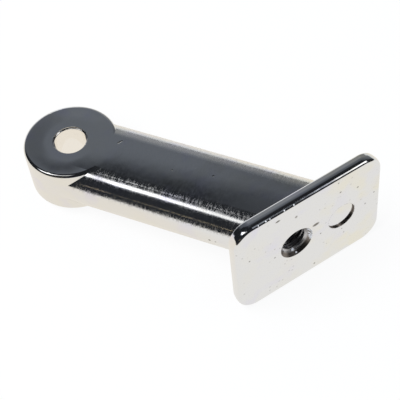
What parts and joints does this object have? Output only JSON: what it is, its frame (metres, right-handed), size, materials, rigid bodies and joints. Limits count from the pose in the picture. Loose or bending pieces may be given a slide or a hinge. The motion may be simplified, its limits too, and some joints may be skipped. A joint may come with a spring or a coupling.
{
  "type": "oven handle bracket",
  "caption": "Chrome-plated cast bracket: a slanted round-sided arm with a bored eye for a handle rail, on a rectangular foot plate with a tapped hole.",
  "frame": {"origin": "centre of the tapped hole's mouth, on the face that bears on the oven door", "axes": "+X leaves the door, +Y is the side the arm leans to, +Z is along the eye's bore"},
  "size_m": [0.0532, 0.052, 0.0236],
  "materials": {
    "chrome_plate": "bright chrome plating over a polished zinc casting"
  },
  "bodies": {
    "root": {"handle_bracket": "chrome_plate"}
  },
  "joints": []
}
